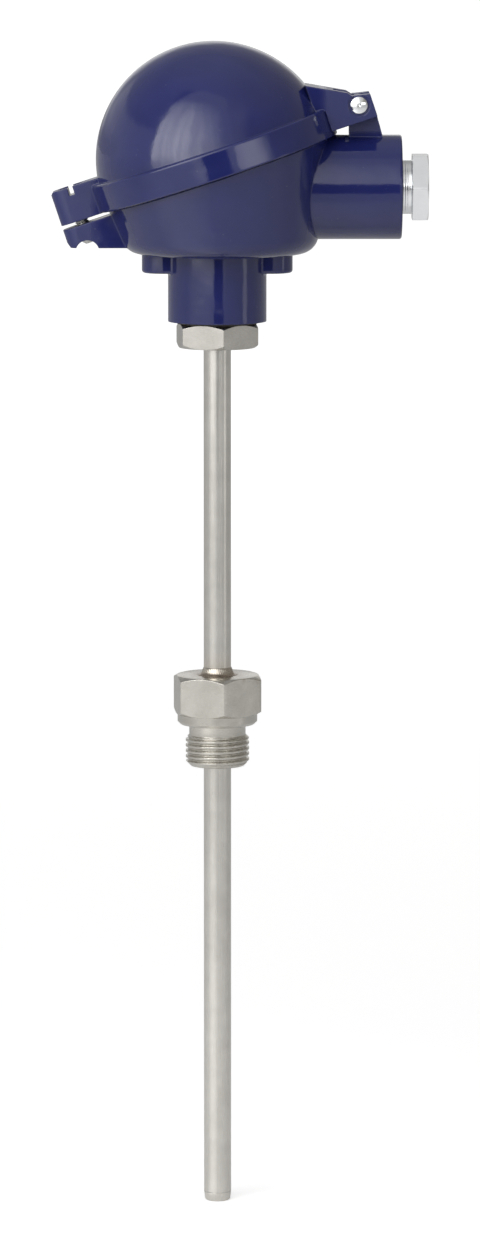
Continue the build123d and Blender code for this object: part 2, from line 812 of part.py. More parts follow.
# Flange of the measuring insert
with BuildPart() as insert_flange:
    with BuildSketch(Plane.XY.offset(floor_top)):
        Circle(flange_d / 2)
        Circle(sheath_d / 2, mode=Mode.SUBTRACT)
        with GridLocations(insert_pitch, 0, 2, 1):
            Circle(flange_hole_d / 2, mode=Mode.SUBTRACT)
    extrude(amount=flange_t)
finish(insert_flange.part, "insert_flange")

# Ceramic terminal base, notched round the two sprung screws
with BuildPart() as terminal_base:
    with BuildSketch(Plane.XY.offset(flange_top)):
        Circle(base_d / 2)
        Circle(base_hole_d / 2, mode=Mode.SUBTRACT)
        with GridLocations(insert_pitch, 0, 2, 1):
            Circle(base_notch_d / 2, mode=Mode.SUBTRACT)
        with GridLocations(insert_pitch + base_notch_d, 0, 2, 1):
            Rectangle(base_notch_d, base_notch_d, mode=Mode.SUBTRACT)
    extrude(amount=base_h)
    top_rim = terminal_base.faces().sort_by(Axis.Z)[-1].edges()
    chamfer(top_rim, base_edge)
    with BuildSketch(Plane.XY.offset(base_top)):
        for angle in terminal_angles:
            with Locations((terminal_r * cos(radians(angle)), terminal_r * sin(radians(angle)))):
                Circle(terminal_screw_d / 2)
    extrude(amount=-terminal_screw_depth, mode=Mode.SUBTRACT)
finish(terminal_base.part, "terminal_base")

# Brass clamping plates
with BuildPart() as terminals:
    with BuildSketch(Plane.XY.offset(base_top)):
        for angle in terminal_angles:
            place = (terminal_r * cos(radians(angle)), terminal_r * sin(radians(angle)))
            with Locations(Location((place[0], place[1], 0), (0, 0, angle))):
                Rectangle(terminal_length, terminal_w)
                Circle(terminal_screw_d / 2, mode=Mode.SUBTRACT)
    extrude(amount=terminal_t)
finish(terminals.part, "terminals")

# Terminal screws, slotted
with BuildPart() as terminal_screws:
    for angle in terminal_angles:
        place = (terminal_r * cos(radians(angle)), terminal_r * sin(radians(angle)))
        with BuildSketch(Plane.XY.offset(terminal_top)):
            with Locations(place):
                Circle(terminal_screw_d / 2)
        extrude(amount=-terminal_t - terminal_screw_depth)
        with BuildSketch(Plane.XY.offset(terminal_top)):
            with Locations(place):
                Circle(terminal_head_d / 2)
        extrude(amount=terminal_head_h)
        with BuildSketch(Plane.XY.offset(terminal_top + terminal_head_h)):
            with Locations(Location((place[0], place[1], 0), (0, 0, angle))):
                Rectangle(terminal_head_d, terminal_slot_w)
        extrude(amount=-terminal_slot_depth, mode=Mode.SUBTRACT)
finish(terminal_screws.part, "terminal_screws")

# The two screws that hold the insert down on springs
with BuildPart() as insert_screws:
    with BuildSketch(Plane.XY.offset(spring_top)):
        with GridLocations(insert_pitch, 0, 2, 1):
            Circle(insert_thread_d / 2)
    extrude(amount=-spring_length - flange_t - insert_screw_depth)
    with BuildSketch(Plane.XY.offset(spring_top)):
        with GridLocations(insert_pitch, 0, 2, 1):
            Circle(insert_screw_head_d / 2)
    extrude(amount=insert_screw_head_h)
    with BuildSketch(Plane.XY.offset(spring_top + insert_screw_head_h)):
        with GridLocations(insert_pitch, 0, 2, 1):
            Rectangle(insert_screw_head_d, insert_screw_slot_w)
    extrude(amount=-insert_screw_slot_depth, mode=Mode.SUBTRACT)
finish(insert_screws.part, "insert_screws")

# Springs between the screw heads and the flange
coil_r = (spring_d - spring_wire_d) / 2
coil_bottom = flange_top + spring_wire_d / 2 + spring_end_flat
coil_height = spring_length - spring_wire_d - 2 * spring_end_flat
with BuildPart() as insert_springs:
    for side in (-1, 1):
        centre_x = side * insert_pitch / 2
        with BuildLine() as coil:
            Helix(coil_height / spring_turns, coil_height, coil_r, center=(centre_x, 0, coil_bottom))
        with BuildSketch(Plane(coil.line @ 0, z_dir=coil.line % 0)):
            Circle(spring_wire_d / 2)
        sweep(path=coil.line)
finish(insert_springs.part, "insert_springs")

# Sheath of the insert, closed at its tip
with BuildPart() as insert_sheath:
    with BuildSketch(Plane.XY.offset(sheath_bottom)):
        Circle(sheath_d / 2)
    extrude(amount=flange_top - sheath_bottom)
    with BuildSketch(Plane.XY.offset(sheath_bottom + sheath_end_t)):
        Circle(sheath_d / 2 - sheath_wall)
    extrude(amount=flange_top - sheath_bottom - sheath_end_t, mode=Mode.SUBTRACT)
    fillet(insert_sheath.edges().filter_by(GeomType.CIRCLE).group_by(Axis.Z)[0], sheath_wall)
finish(insert_sheath.part, "insert_sheath")

# Mineral filling with a pocket for the element and four holes for the leads
core_bottom = sheath_bottom + sheath_end_t
element_bottom = core_bottom + element_rise
element_top = element_bottom + element_l
with BuildPart() as insulation_core:
    with BuildSketch(Plane.XY.offset(core_bottom)):
        Circle(sheath_d / 2 - sheath_wall - core_gap)
    extrude(amount=flange_top - core_bottom)
    with BuildSketch(Plane.XY.offset(element_bottom)):
        Circle(element_d / 2 + core_gap)
    extrude(amount=element_l, mode=Mode.SUBTRACT)
    with BuildSketch(Plane.XY.offset(element_top)):
        with PolarLocations(lead_circle_r, len(terminal_angles), start_angle=45):
            Circle(lead_d / 2 + lead_hole_gap)
    extrude(amount=flange_top - element_top, mode=Mode.SUBTRACT)
finish(insulation_core.part, "insulation_core")

# Platinum element
with BuildPart() as sensor_element:
    with BuildSketch(Plane.XY.offset(element_bottom)):
        Circle(element_d / 2)
    extrude(amount=element_l)
finish(sensor_element.part, "sensor_element")

# Leads from the element up to the terminals
lead_top = base_top + lead_rise
with BuildPart() as lead_wires:
    for start_angle, angle in zip((45, 135, 225, 315), terminal_angles):
        start = (lead_circle_r * cos(radians(start_angle)), lead_circle_r * sin(radians(start_angle)))
        reach = (lead_reach_r * cos(radians(angle)), lead_reach_r * sin(radians(angle)))
        with BuildLine() as route:
            FilletPolyline(
                (start[0], start[1], element_top),
                (start[0], start[1], lead_top),
                (reach[0], reach[1], lead_top),
                (reach[0], reach[1], base_top),
                radius=lead_bend_r,
            )
        with BuildSketch(Plane(route.line @ 0, z_dir=route.line % 0)):
            Circle(lead_d / 2)
        sweep(path=route.line)
finish(lead_wires.part, "lead_wires")

# Ground screw and its washer on the boss beside the insert
with BuildPart() as ground_washer:
    with BuildSketch(Plane.XY.offset(ground_top)):
        with Locations((0, ground_y)):
            Circle(ground_washer_d / 2)
            Circle(ground_thread_d / 2, mode=Mode.SUBTRACT)
    extrude(amount=ground_washer_t)
finish(ground_washer.part, "ground_washer")

ground_head_bottom = ground_top + ground_washer_t
with BuildPart() as ground_screw:
    with BuildSketch(Plane.XY.offset(ground_head_bottom)):
        with Locations((0, ground_y)):
            Circle(ground_thread_d / 2)
    extrude(amount=-ground_washer_t - ground_hole_depth + loose_clearance)
    with BuildSketch(Plane.XY.offset(ground_head_bottom)):
        with Locations((0, ground_y)):
            Circle(ground_head_d / 2)
    extrude(amount=ground_head_h)
    with BuildSketch(Plane.XY.offset(ground_head_bottom + ground_head_h)):
        with Locations((0, ground_y)):
            Rectangle(ground_head_d, ground_slot_w)
    extrude(amount=-ground_slot_depth, mode=Mode.SUBTRACT)
finish(ground_screw.part, "ground_screw")
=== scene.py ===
"""Looks of the resistance thermometer: finishes, threads, weld, springs, floor, light and camera.

Metres in the part's frame: +Z up along the stem, the origin on the sealing face of the process
connection, the head seen from its front when looking along +Y.
"""

import json
from math import cos, pi, radians, sin

import bmesh
import bpy
from mathutils import Matrix, Vector


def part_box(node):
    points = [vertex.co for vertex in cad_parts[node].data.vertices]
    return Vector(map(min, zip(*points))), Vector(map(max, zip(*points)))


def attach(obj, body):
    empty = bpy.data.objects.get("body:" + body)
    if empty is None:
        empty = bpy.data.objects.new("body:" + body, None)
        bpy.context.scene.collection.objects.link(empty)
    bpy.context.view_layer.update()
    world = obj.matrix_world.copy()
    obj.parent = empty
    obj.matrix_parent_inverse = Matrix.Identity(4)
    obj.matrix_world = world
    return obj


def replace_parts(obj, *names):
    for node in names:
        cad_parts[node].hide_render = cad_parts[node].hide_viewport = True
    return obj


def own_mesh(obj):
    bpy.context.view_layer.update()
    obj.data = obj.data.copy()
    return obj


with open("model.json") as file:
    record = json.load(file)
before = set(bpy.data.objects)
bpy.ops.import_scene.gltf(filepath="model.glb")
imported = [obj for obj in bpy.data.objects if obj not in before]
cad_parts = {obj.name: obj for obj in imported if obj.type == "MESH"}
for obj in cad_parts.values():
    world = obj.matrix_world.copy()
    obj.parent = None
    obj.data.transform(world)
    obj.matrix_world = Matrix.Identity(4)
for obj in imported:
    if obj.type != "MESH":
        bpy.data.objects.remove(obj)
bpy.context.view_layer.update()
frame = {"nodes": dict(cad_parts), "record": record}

MM = 0.001
HEX_CORNER = 0.996  # radius of a hexagon's broken corners, as a share of its sharp ones

# Process connection
PROCESS_FLAT_R = 13.5 * MM
PROCESS_EDGE = 0.35 * MM
COLLAR_R = 13.15 * MM
COLLAR_TOP = 3.3 * MM
COLLAR_CHAMFER = 0.9 * MM
HEX_TOP = 16.2 * MM
HEX_DROP = 1.3 * MM
HEX_TURN = radians(8.6 - 90)
RELIEF_R = 9.3 * MM
RELIEF_BOTTOM = -3.6 * MM
THREAD_R = 10.4775 * MM
THREAD_DEPTH = 0.95 * MM
THREAD_PITCH = 1.814 * MM
THREAD_END = -13.9 * MM
THREAD_CHAMFER = 1.6 * MM
TUBE_R = 4.5 * MM

# Weld bead on the process hexagon, in mm: radius and height from its top to its foot
WELD_PROFILE = (
    (4.42, 18.8), (4.6, 18.7), (4.78, 18.2), (4.98, 17.5),
    (5.2, 17.0), (5.55, 16.6), (6.1, 16.35), (6.7, 16.19),
)
WELD_INNER_R = 4.42
WELD_FOOT_Z = 16.19
WELD_BOTTOM_Z = 16.0
WELD_RISE = 2.6
WELD_RIPPLE = 0.05
WELD_RIPPLES = 46
WELD_SWAY = 0.04

# Cable entry
ENTRY_Z = 177.1 * MM
ENTRY_FACE_X = 60.292 * MM
GLAND_START_X = 44.992 * MM
GLAND_HEX_X = 63.692 * MM
GLAND_END_X = 68.992 * MM
GLAND_FLAT_R = 10.6 * MM
GLAND_DROP = 0.5 * MM
GLAND_EDGE = 0.5 * MM
GLAND_THREAD_R = 9.95 * MM
GLAND_THREAD_DEPTH = 0.8 * MM
GLAND_PITCH = 1.5 * MM
GLAND_RELIEF_R = 8.9 * MM
GLAND_GROOVE_DEPTH = 0.05 * MM
GLAND_GROOVE_PITCH = 0.75 * MM
GLAND_HOLE_R = 6.0 * MM

# Closing screw: u and w lie in the lid's frame, across and along its axis
LID_TILT = radians(18.5)
DOME_CENTRE = Vector((-1.1 * MM, 0, 186.2 * MM))
SCREW_U = -47.4 * MM
SCREW_TOP_W = 6.1 * MM
SCREW_HEAD_W = 2.7 * MM
SCREW_HEAD_R = 4.1 * MM
SCREW_EDGE = 0.4 * MM
SCREW_SHANK_R = 2.25 * MM
SCREW_PITCH = 0.8 * MM
SCREW_DEPTH = 0.42 * MM
SCREW_END_W = -13.07 * MM
SCREW_TIP_R = 1.0 * MM
SCREW_TIP_H = 1.2 * MM
SLOT_W = 1.8 * MM
SLOT_BOTTOM_W = 3.8 * MM
CUTTER_LENGTH = 12 * MM
CUTTER_HEIGHT = 4 * MM

# Hinge pin
PIN_U = 50.5 * MM
PIN_W = 2.2 * MM
PIN_R = 2.0 * MM
PIN_SEAT_Y = -11.4 * MM
PIN_HEAD_R = 2.75 * MM
PIN_HEAD_Y = -12.8 * MM
PIN_DOME = 0.8 * MM
PIN_EDGE = 0.1 * MM
PIN_DIMPLE_R = 0.62 * MM
PIN_DIMPLE_DEPTH = 0.4 * MM
PIN_DIMPLE_RISE = 0.35 * MM
PIN_GROOVE_Y = 12.0 * MM
PIN_GROOVE_W = 0.8 * MM
PIN_GROOVE_R = 1.5 * MM
PIN_END_Y = 14.0 * MM
PIN_END_CHAMFER = 0.4 * MM

# Springs of the measuring insert
SPRING_X = 16.5 * MM
SPRING_BOTTOM = 160.7 * MM
SPRING_TOP = 171.7 * MM
SPRING_R = 2.9 * MM
SPRING_WIRE_R = 0.38 * MM
SPRING_TURNS = 6
SPRING_FLAT_SHARE = 0.12
SPRING_FLAT_SLOPE = 0.35

# Camera: it looks down on the stem, and its shift brings the head to the top of the picture
CAMERA_PLACE = (0.00745, -1.9, 0.29)
CAMERA_PITCH = radians(5.76)
CAMERA_LENS = 167.1
CAMERA_SENSOR = 36
CAMERA_SHIFT = -200 / 1253

# Studio: sizes in metres, levels as shares of white
FLOOR_REACH = 30
FLOOR_FRONT_LEFT = (-0.616, -0.788)
KEY_LEFT, KEY_RIGHT, KEY_LOW, KEY_HIGH = -0.49, 0.56, -0.092, 1.6
LOW_HALF_WIDTH, LOW_BOTTOM, LOW_TOP = 0.52, -0.17, 0.2
DARK_HALF_WIDTH, DARK_BOTTOM, DARK_TOP = 0.09, -0.11, 0.068
DARK_LEVEL = 0.05
FILL_SIZE = (0.2, 0.5)
FILL_RADIANCE = 0.8
BLACK = (0, 0, 0, 1)
WHITE = (1, 1, 1, 1)

HEAD = Vector((0, 0, 186 * MM))
LID_FRAME = Matrix.Translation(DOME_CENTRE) @ Matrix.Rotation(-LID_TILT, 4, "Y")


# Materials


class Nodes:
    """A short way to write the node tree of a material or a world."""

    def __init__(self, owner, shader="Principled BSDF", place="Object"):
        self.owner = owner
        owner.use_nodes = True
        self.tree = owner.node_tree
        self.shader = self.tree.nodes[shader]
        self.place = self.add("ShaderNodeTexCoord").outputs[place]

    def add(self, kind, **settings):
        node = self.tree.nodes.new(kind)
        for key, value in settings.items():
            setattr(node, key, value)
        return node

    def link(self, source, target):
        self.tree.links.new(source, target)

    def give(self, socket, value):
        """Sets a socket to a number or a colour, or links it to another socket."""
        if isinstance(value, (int, float)):
            socket.default_value = value
        elif isinstance(value, tuple):
            socket.default_value = (*value, 1)
        else:
            self.link(value, socket)

    def set(self, **values):
        """Sets sockets of the shader, named with underscores for spaces."""
        for key, value in values.items():
            self.shader.inputs[key.replace("_", " ")].default_value = value

    def use(self, socket, name):
        """Links a socket to one of the shader's."""
        self.link(socket, self.shader.inputs[name])

    def axes(self):
        """The three coordinates of the place."""
        node = self.add("ShaderNodeSeparateXYZ")
        self.link(self.place, node.inputs[0])
        return node.outputs

    def stretched(self, scale):
        """The place stretched along the axes."""
        mapping = self.add("ShaderNodeMapping")
        mapping.inputs["Scale"].default_value = scale
        self.link(self.place, mapping.inputs["Vector"])
        return mapping.outputs["Vector"]

    def noise(self, scale, detail=3.0, roughness=0.5, vector=None):
        node = self.add("ShaderNodeTexNoise")
        node.inputs["Scale"].default_value = scale
        node.inputs["Detail"].default_value = detail
        node.inputs["Roughness"].default_value = roughness
        self.link(vector or self.place, node.inputs["Vector"])
        return node.outputs["Fac"]

    def ramp(self, source, *stops):
        """Colour ramp from (position, colour) stops."""
        node = self.add("ShaderNodeValToRGB")
        elements = node.color_ramp.elements
        while len(elements) < len(stops):
            elements.new(0.5)
        for element, (position, colour) in zip(elements, stops):
            element.position = position
            element.color = (*colour, 1)
        self.link(source, node.inputs["Fac"])
        return node.outputs["Color"]

    def span(self, source, low, high, to_low=0.0, to_high=1.0):
        """Maps the range low to high of a value to another range, clamped."""
        node = self.add("ShaderNodeMapRange")
        ends = {"From Min": low, "From Max": high, "To Min": to_low, "To Max": to_high}
        for key, value in ends.items():
            node.inputs[key].default_value = value
        self.link(source, node.inputs["Value"])
        return node.outputs["Result"]

    def mix(self, factor, first, second):
        """Mixes two colours, each a socket or a constant."""
        node = self.add("ShaderNodeMix", data_type="RGBA", blend_type="MIX")
        for index, value in ((0, factor), (6, first), (7, second)):
            self.give(node.inputs[index], value)
        return node.outputs[2]

    def level(self, factor, first, second):
        """Mixes two numbers, each a socket or a constant."""
        node = self.add("ShaderNodeMix", data_type="FLOAT")
        for index, value in ((0, factor), (2, first), (3, second)):
            self.give(node.inputs[index], value)
        return node.outputs[0]

    def math(self, operation, *values):
        """Calculates with numbers, each a socket or a constant."""
        node = self.add("ShaderNodeMath", operation=operation)
        for socket, value in zip(node.inputs, values):
            self.give(socket, value)
        return node.outputs[0]

    def times(self, first, *others):
        """Product of two or more numbers."""
        for other in others:
            first = self.math("MULTIPLY", first, other)
        return first

    def distance(self, x, y):
        """Distance to the Z axis."""
        return self.math("SQRT", self.math("ADD", self.times(x, x), self.times(y, y)))

    def bump(self, height, distance, normal):
        """Lays a height map over other normals."""
        node = self.add("ShaderNodeBump")
        node.inputs["Strength"].default_value = 1.0
        node.inputs["Distance"].default_value = distance
        self.link(height, node.inputs["Height"])
        self.link(normal, node.inputs["Normal"])
        return node.outputs["Normal"]

    def rounded(self, radius):
        """Normals rounded over sharp edges."""
        node = self.add("ShaderNodeBevel", samples=6)
        node.inputs["Radius"].default_value = radius
        return node.outputs["Normal"]


def new_material(name):
    return Nodes(bpy.data.materials.new(name))


def blue_paint():
    """Glossy dark blue coating over a casting: soft waves, fine grain, faint dust, duller lugs."""
    n = new_material("blue_paint")
    n.set(IOR=1.58)
    wide = n.noise(90, 2, 0.45)
    grain = n.noise(1500, 2, 0.5)
    tone = n.ramp(wide, (0.3, (0.0115, 0.0155, 0.096)), (0.7, (0.0140, 0.0185, 0.108)))
    specks = n.add("ShaderNodeTexVoronoi", feature="F1")
    specks.inputs["Scale"].default_value = 420
    n.link(n.place, specks.inputs["Vector"])
    dust = n.span(specks.outputs["Distance"], 0.05, 0.11, 0.5, 0.0)
    dust = n.times(dust, n.span(n.noise(260, 1), 0.52, 0.66))
    n.use(n.mix(dust, tone, (0.10, 0.11, 0.20)), "Base Color")
    x, _, z = n.axes()
    hinge = n.times(n.span(x, 33 * MM, 36 * MM), n.span(z, 194 * MM, 196 * MM))
    lugs = n.math("MAXIMUM", n.span(x, -39 * MM, -42 * MM), hinge)
    gloss = n.span(n.noise(240, 3), 0.3, 0.75, 0.06, 0.13)
    n.use(n.level(lugs, gloss, 0.34), "Roughness")
    waves = n.bump(wide, 0.22 * MM, n.rounded(0.6 * MM))
    n.use(n.bump(grain, 0.012 * MM, waves), "Normal")
    return n.owner


def weld_tint(n, tone):
    """Heat colours: brown by the tube, straw above the hexagon, a few stains below its top."""
    x, y, z = n.axes()
    wobble = n.span(n.noise(420, 3), 0.3, 0.7, -1.2 * MM, 1.2 * MM)
    radius = n.math("ADD", n.distance(x, y), wobble)
    on_top = n.times(n.span(z, 15.9 * MM, 16.15 * MM), n.span(z, 16.4 * MM, 17.3 * MM, 1.0, 0.0))
    near = n.times(on_top, n.span(radius, 6 * MM, 10 * MM, 1.0, 0.0))
    above = n.times(n.span(z, 16 * MM, 16.6 * MM), n.span(z, 17 * MM, 24 * MM, 1.0, 0.0))
    below = n.times(n.span(z, 12.2 * MM, 16 * MM), n.span(z, 16.1 * MM, 16.3 * MM, 1.0, 0.0))
    stains = n.times(below, n.span(n.noise(260, 3), 0.56, 0.72))
    tone = n.mix(n.times(near, 0.8), tone, (0.20, 0.145, 0.105))
    tone = n.mix(n.times(above, 0.3), tone, (0.55, 0.44, 0.31))
    return n.mix(n.times(stains, 0.35), tone, (0.30, 0.22, 0.15))


def steel(name, tones, rough, streak, edge=0.3 * MM, depth=0.012 * MM, tint=None):
    """Bare metal with fine tool marks, stretched along the axes by streak, and perhaps a tint."""
    n = new_material(name)
    n.set(Metallic=1.0)
    marks = n.noise(1.0, 4, 0.6, n.stretched(streak))
    blotch = n.noise(160, 3, 0.55)
    tone = n.ramp(blotch, (0.35, tones[0]), (0.7, tones[1]))
    tone = n.mix(0.35, tone, n.ramp(marks, (0.3, tones[0]), (0.7, tones[1])))
    if tint:
        tone = tint(n, tone)
    n.use(tone, "Base Color")
    n.use(n.span(marks, 0.3, 0.7, *rough), "Roughness")
    n.use(n.bump(marks, depth, n.rounded(edge)), "Normal")
    return n.owner


def plain(name, tones, rough, grain, depth, metallic=0.0, edge=0.2 * MM):
    """Fine-grained surface, such as rubber, fibre, ceramic or brass."""
    n = new_material(name)
    n.set(Metallic=metallic)
    marks = n.noise(grain, 4, 0.6)
    n.use(n.ramp(marks, (0.3, tones[0]), (0.7, tones[1])), "Base Color")
    n.use(n.span(n.noise(grain / 4, 3), 0.3, 0.7, *rough), "Roughness")
    n.use(n.bump(marks, depth, n.rounded(edge)), "Normal")
    return n.owner


ACROSS = (900, 900, 14000)
ALONG = (2600, 2600, 60)
AROUND_X = (14000, 700, 700)
EVEN = (3000, 3000, 3000)
STEELS = {
    "tube_steel": dict(
        tones=((0.60, 0.58, 0.54), (0.71, 0.69, 0.645)),
        rough=(0.2, 0.3), streak=ALONG, depth=0.008 * MM, tint=weld_tint,
    ),
    "turned_steel": dict(
        tones=((0.52, 0.50, 0.455), (0.64, 0.62, 0.57)),
        rough=(0.2, 0.3), streak=ACROSS, depth=0.004 * MM, tint=weld_tint,
    ),
    "nickel": dict(
        tones=((0.80, 0.815, 0.83), (0.88, 0.885, 0.89)),
        rough=(0.06, 0.13), streak=AROUND_X, edge=0.2 * MM, depth=0.003 * MM,
    ),
    "neck_steel": dict(
        tones=((0.44, 0.425, 0.39), (0.54, 0.52, 0.485)),
        rough=(0.2, 0.3), streak=ACROSS, depth=0.004 * MM,
    ),
    "weld_steel": dict(
        tones=((0.44, 0.42, 0.385), (0.58, 0.56, 0.52)),
        rough=(0.2, 0.32), streak=ACROSS, tint=weld_tint,
    ),
    "zinc_steel": dict(
        tones=((0.50, 0.50, 0.49), (0.64, 0.64, 0.62)),
        rough=(0.25, 0.4), streak=EVEN, edge=0.15 * MM,
    ),
}
PLAINS = {
    "brass": dict(
        tones=((0.62, 0.44, 0.18), (0.74, 0.55, 0.25)),
        rough=(0.22, 0.34), grain=900, depth=0.01 * MM, metallic=1.0,
    ),
    "black_rubber": dict(
        tones=((0.012, 0.012, 0.013), (0.03, 0.03, 0.03)),
        rough=(0.55, 0.75), grain=1800, depth=0.02 * MM,
    ),
    "ceramic": dict(
        tones=((0.70, 0.67, 0.59), (0.80, 0.77, 0.69)),
        rough=(0.35, 0.5), grain=1400, depth=0.02 * MM, edge=0.3 * MM,
    ),
    "fibre": dict(
        tones=((0.03, 0.027, 0.024), (0.07, 0.06, 0.05)),
        rough=(0.7, 0.85), grain=2600, depth=0.03 * MM,
    ),
    "lead_copper": dict(
        tones=((0.72, 0.40, 0.24), (0.82, 0.50, 0.32)),
        rough=(0.2, 0.32), grain=1500, depth=0.01 * MM, metallic=1.0,
    ),
}
STAINLESS = {"neck_adapter": "neck_steel", "insert_flange": "turned_steel"}

materials = {"blue_paint": blue_paint()}
materials.update({name: steel(name, **finish) for name, finish in STEELS.items()})
materials.update({name: plain(name, **finish) for name, finish in PLAINS.items()})

slots = {entry["node"]: entry["material_slot"] for entry in frame["record"]["subparts"]}
for node, piece in frame["nodes"].items():
    finish = slots[node]
    if finish == "stainless":
        finish = STAINLESS.get(node, "tube_steel")
    piece.material_slots[0].material = materials[finish]


# Meshes


def piece_from(name, rings, finish, body, closed=True):
    """Mesh from rings of points, quads between them, closed on itself or with a cap at each end."""
    mesh = bmesh.new()
    rows = [[mesh.verts.new(point) for point in ring] for ring in rings]
    count = len(rows[0])
    for low, high in zip(rows, rows[1:] + (rows[:1] if closed else [])):
        for i in range(count):
            mesh.faces.new((low[i], low[(i + 1) % count], high[(i + 1) % count], high[i]))
    if not closed:
        mesh.faces.new(list(reversed(rows[0])))
        mesh.faces.new(rows[-1])
    bmesh.ops.recalc_face_normals(mesh, faces=mesh.faces)
    data = bpy.data.meshes.new(name)
    mesh.to_mesh(data)
    mesh.free()
    piece = bpy.data.objects.new(name, data)
    bpy.context.scene.collection.objects.link(piece)
    data.materials.append(materials[finish])
    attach(piece, body)
    return piece


def shade(piece, degrees=35):
    """Smooth shading that keeps edges sharper than the angle."""
    mesh = bmesh.new()
    mesh.from_mesh(piece.data)
    for face in mesh.faces:
        face.smooth = True
    for edge in mesh.edges:
        edge.smooth = len(edge.link_faces) == 2 and edge.calc_face_angle(0) < radians(degrees)
    mesh.to_mesh(piece.data)
    mesh.free()
    return piece


def spaced(low, high, steps):
    """Evenly spaced values from low to high, both ends included."""
    return [low + (high - low) * i / steps for i in range(steps + 1)]


def around(count, start=0.0):
    """Evenly spaced angles of a full turn."""
    return [start + 2 * pi * i / count for i in range(count)]


def smooth(value):
    """Eases 0 to 1, flat at both ends."""
    value = min(1, max(0, value))
    return value * value * (3 - 2 * value)


def hex_radius(angle, flat_r, corner_angle):
    """Distance to a hexagon's side, with its corners a little broken."""
    turned = (angle - corner_angle + pi / 6) % (pi / 3) - pi / 6
    return min(flat_r / cos(pi / 6 - abs(turned)), flat_r / cos(pi / 6) * HEX_CORNER)


def chamfer_drop(radius, flat_r, drop):
    """Drop of a hexagon's chamfer at a radius, from none at the flats to drop at the corners."""
    corner_r = flat_r / cos(pi / 6)
    return drop * (radius - flat_r) / (corner_r - flat_r)


def thread_radius(angle, along, outer_r, depth, pitch):
    """Surface of a right-hand thread with rounded crests and roots."""
    phase = (along / pitch - angle / (2 * pi)) % 1
    return outer_r - depth * smooth((abs(2 * phase - 1) - 0.3) / 0.6)


def process_connection():
    """Hexagon, collar, relief and helical pipe thread on the stem."""
    angles = around(192, HEX_TURN)
    edge = PROCESS_EDGE
    bore = TUBE_R - 0.1 * MM
    hex_upper = HEX_TOP - edge / 4
    hex_lower = COLLAR_TOP + edge / 4

    def ring(radius, z):
        return [(radius(a) * cos(a), radius(a) * sin(a), z(a)) for a in angles]

    def even(radius, z):
        return ring(lambda a: radius, lambda a: z)

    def side(a):
        return hex_radius(a, PROCESS_FLAT_R, HEX_TURN)

    def drop(a):
        return chamfer_drop(side(a), PROCESS_FLAT_R, HEX_DROP)

    def threaded(z):
        lead_in = min(RELIEF_R + (RELIEF_BOTTOM - z), THREAD_R - THREAD_CHAMFER + z - THREAD_END)
        limit = max(lead_in, TUBE_R + MM)
        return lambda a: min(thread_radius(a, z, THREAD_R, THREAD_DEPTH, THREAD_PITCH), limit)

    rings = [
        even(bore, HEX_TOP),
        even(PROCESS_FLAT_R - edge, HEX_TOP),
        even(PROCESS_FLAT_R, hex_upper),
        ring(side, lambda a: hex_upper - drop(a)),
        ring(side, lambda a: hex_lower + drop(a)),
        even(PROCESS_FLAT_R, hex_lower),
        even(COLLAR_R, COLLAR_TOP),
        even(COLLAR_R, COLLAR_CHAMFER),
        even(COLLAR_R - COLLAR_CHAMFER, 0),
        even(RELIEF_R + 2 * edge, 0),
        even(RELIEF_R + 0.6 * edge, -0.6 * edge),
        even(RELIEF_R, -2 * edge),
    ]
    for z in spaced(RELIEF_BOTTOM, THREAD_END, 110):
        rings.append(ring(threaded(z), lambda a: z))
    rings.append(even(bore, THREAD_END))
    piece = piece_from("process_connection_threaded", rings, "turned_steel", "head")
    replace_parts(shade(piece), "process_connection")


def stem_weld():
    """Bead that runs round the tube where it meets the hexagon, with fine ripples."""
    rings = []
    for radius, z in WELD_PROFILE:
        height = (z - WELD_FOOT_Z) / WELD_RISE
        ring = []
        for a in around(240):
            ripple = WELD_RIPPLE * sin(WELD_RIPPLES * a + 2.5 * height) * sin(pi * height)
            ripple += WELD_SWAY * sin(5 * a + 1.3)
            ring.append(((radius + ripple) * MM * cos(a), (radius + ripple) * MM * sin(a), z * MM))
        rings.append(ring)
    inner_r = WELD_INNER_R * MM
    rings.append([(inner_r * cos(a), inner_r * sin(a), WELD_BOTTOM_Z * MM) for a in around(240)])
    shade(piece_from("stem_weld", rings, "weld_steel", "head"), 60)


